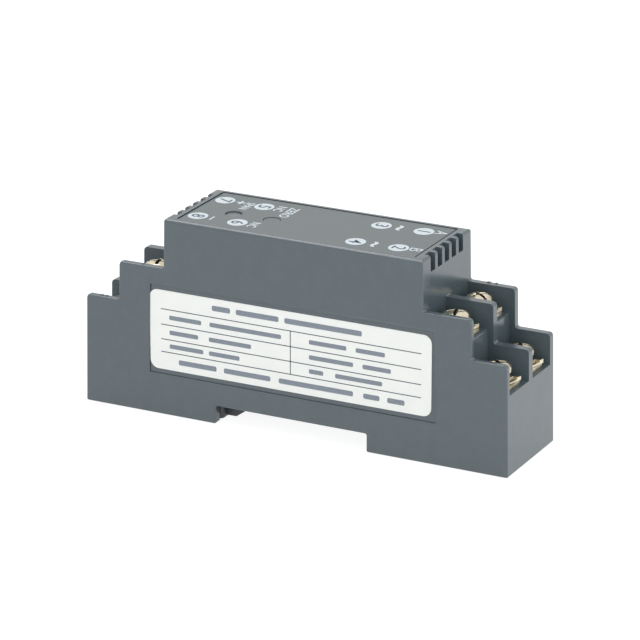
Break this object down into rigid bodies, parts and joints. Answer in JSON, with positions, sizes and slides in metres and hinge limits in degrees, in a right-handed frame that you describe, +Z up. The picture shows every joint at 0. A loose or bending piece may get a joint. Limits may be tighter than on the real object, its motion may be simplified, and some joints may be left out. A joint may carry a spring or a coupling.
{
  "type": "rail mounted voltage transducer",
  "caption": "Slim stepped plastic case with rows of screw terminals at both ends, a top legend plate and a sprung latch for a mounting rail; turns a line voltage into a small signal.",
  "frame": {"origin": "middle of the feet, on the plane that the feet stand on", "axes": "+X along the length, towards the end away from the latch; +Y across the width, away from the label; +Z up"},
  "size_m": [0.1008, 0.024, 0.0446],
  "materials": {
    "shell": "moulded blue-grey, satin",
    "cover": "moulded grey, fine texture",
    "panel": "printed grey sheet, fine grain",
    "label": "white film",
    "latch": "moulded black, satin",
    "nickel": "nickel plated, warm, lightly worn",
    "spring_steel": "drawn wire",
    "board": "glass epoxy with green lacquer",
    "component": "moulded black",
    "rotor": "moulded white",
    "core": "laminated sheet",
    "winding": "yellow winding tape",
    "can": "dark sleeve",
    "trimmer": "moulded blue"
  },
  "bodies": {
    "housing": {"case": "shell", "base_cover": "cover", "top_plate": "panel", "side_label": "label", "span_plug": "panel", "zero_plug": "panel", "main_board": "board", "signal_board": "board", "link_header_left": "component", "link_header_right": "component", "voltage_transformer": "core", "transformer_winding": "winding", "power_module": "component", "filter_capacitor_1": "can", "filter_capacitor_2": "can", "optocoupler": "component", "converter_chip": "component", "output_chip": "component", "span_trimmer": "trimmer", "zero_trimmer": "trimmer", "latch_spring": "spring_steel", "contact_plate_1": "nickel", "contact_plate_2": "nickel", "contact_plate_3": "nickel", "contact_plate_4": "nickel", "contact_plate_5": "nickel", "contact_plate_6": "nickel", "contact_plate_7": "nickel", "contact_plate_8": "nickel"},
    "latch": {"rail_latch": "latch"},
    "span_adjuster": {"span_trimmer_rotor": "rotor"},
    "zero_adjuster": {"zero_trimmer_rotor": "rotor"},
    "clamp_1": {"clamp_washer_1": "nickel", "lock_washer_1": "nickel"},
    "screw_1": {"terminal_screw_1": "nickel"},
    "clamp_2": {"clamp_washer_2": "nickel", "lock_washer_2": "nickel"},
    "screw_2": {"terminal_screw_2": "nickel"},
    "clamp_3": {"clamp_washer_3": "nickel", "lock_washer_3": "nickel"},
    "screw_3": {"terminal_screw_3": "nickel"},
    "clamp_4": {"clamp_washer_4": "nickel", "lock_washer_4": "nickel"},
    "screw_4": {"terminal_screw_4": "nickel"},
    "clamp_5": {"clamp_washer_5": "nickel", "lock_washer_5": "nickel"},
    "screw_5": {"terminal_screw_5": "nickel"},
    "clamp_6": {"clamp_washer_6": "nickel", "lock_washer_6": "nickel"},
    "screw_6": {"terminal_screw_6": "nickel"},
    "clamp_7": {"clamp_washer_7": "nickel", "lock_washer_7": "nickel"},
    "screw_7": {"terminal_screw_7": "nickel"},
    "clamp_8": {"clamp_washer_8": "nickel", "lock_washer_8": "nickel"},
    "screw_8": {"terminal_screw_8": "nickel"}
  },
  "joints": [
    {"name": "latch_slide", "type": "slide", "parent": "housing", "child": "latch", "axis": [-1, 0, 0], "range_m": [0, 0.004], "stiffness_N_per_m": 800, "springref_m": -0.004, "deforming": ["latch_spring"]},
    {"name": "span_adjust", "type": "hinge", "parent": "housing", "child": "span_adjuster", "pos_m": [-0.01905, -0.0017, 0.04], "axis": [0, 0, 1], "range_deg": [-135, 135]},
    {"name": "zero_adjust", "type": "hinge", "parent": "housing", "child": "zero_adjuster", "pos_m": [-0.0098, -0.0018, 0.04], "axis": [0, 0, 1], "range_deg": [-135, 135]},
    {"name": "clamp_lift_1", "type": "slide", "parent": "housing", "child": "clamp_1", "axis": [0, 0, 1], "range_m": [0, 0.0024]},
    {"name": "screw_turn_1", "type": "hinge", "parent": "clamp_1", "child": "screw_1", "pos_m": [0.045, 0.00565, 0.0179], "axis": [0, 0, 1], "range_deg": [0, 1440]},
    {"name": "clamp_lift_2", "type": "slide", "parent": "housing", "child": "clamp_2", "axis": [0, 0, 1], "range_m": [0, 0.0024]},
    {"name": "screw_turn_2", "type": "hinge", "parent": "clamp_2", "child": "screw_2", "pos_m": [0.045, -0.0058, 0.0179], "axis": [0, 0, 1], "range_deg": [0, 1440]},
    {"name": "clamp_lift_3", "type": "slide", "parent": "housing", "child": "clamp_3", "axis": [0, 0, 1], "range_m": [0, 0.0024]},
    {"name": "screw_turn_3", "type": "hinge", "parent": "clamp_3", "child": "screw_3", "pos_m": [0.0353, 0.00565, 0.0279], "axis": [0, 0, 1], "range_deg": [0, 1440]},
    {"name": "clamp_lift_4", "type": "slide", "parent": "housing", "child": "clamp_4", "axis": [0, 0, 1], "range_m": [0, 0.0024]},
    {"name": "screw_turn_4", "type": "hinge", "parent": "clamp_4", "child": "screw_4", "pos_m": [0.0353, -0.0058, 0.0279], "axis": [0, 0, 1], "range_deg": [0, 1440]},
    {"name": "clamp_lift_5", "type": "slide", "parent": "housing", "child": "clamp_5", "axis": [0, 0, 1], "range_m": [0, 0.0024]},
    {"name": "screw_turn_5", "type": "hinge", "parent": "clamp_5", "child": "screw_5", "pos_m": [-0.0353, 0.00565, 0.0279], "axis": [0, 0, 1], "range_deg": [0, 1440]},
    {"name": "clamp_lift_6", "type": "slide", "parent": "housing", "child": "clamp_6", "axis": [0, 0, 1], "range_m": [0, 0.0024]},
    {"name": "screw_turn_6", "type": "hinge", "parent": "clamp_6", "child": "screw_6", "pos_m": [-0.0353, -0.0058, 0.0279], "axis": [0, 0, 1], "range_deg": [0, 1440]},
    {"name": "clamp_lift_7", "type": "slide", "parent": "housing", "child": "clamp_7", "axis": [0, 0, 1], "range_m": [0, 0.0024]},
    {"name": "screw_turn_7", "type": "hinge", "parent": "clamp_7", "child": "screw_7", "pos_m": [-0.045, 0.00565, 0.0179], "axis": [0, 0, 1], "range_deg": [0, 1440]},
    {"name": "clamp_lift_8", "type": "slide", "parent": "housing", "child": "clamp_8", "axis": [0, 0, 1], "range_m": [0, 0.0024]},
    {"name": "screw_turn_8", "type": "hinge", "parent": "clamp_8", "child": "screw_8", "pos_m": [-0.045, -0.0058, 0.0179], "axis": [0, 0, 1], "range_deg": [0, 1440]}
  ],
  "couplings": [
    {"joint": "screw_turn_1", "follows": "clamp_lift_1", "rad_per_m": 10472},
    {"joint": "screw_turn_2", "follows": "clamp_lift_2", "rad_per_m": 10472},
    {"joint": "screw_turn_3", "follows": "clamp_lift_3", "rad_per_m": 10472},
    {"joint": "screw_turn_4", "follows": "clamp_lift_4", "rad_per_m": 10472},
    {"joint": "screw_turn_5", "follows": "clamp_lift_5", "rad_per_m": 10472},
    {"joint": "screw_turn_6", "follows": "clamp_lift_6", "rad_per_m": 10472},
    {"joint": "screw_turn_7", "follows": "clamp_lift_7", "rad_per_m": 10472},
    {"joint": "screw_turn_8", "follows": "clamp_lift_8", "rad_per_m": 10472}
  ]
}
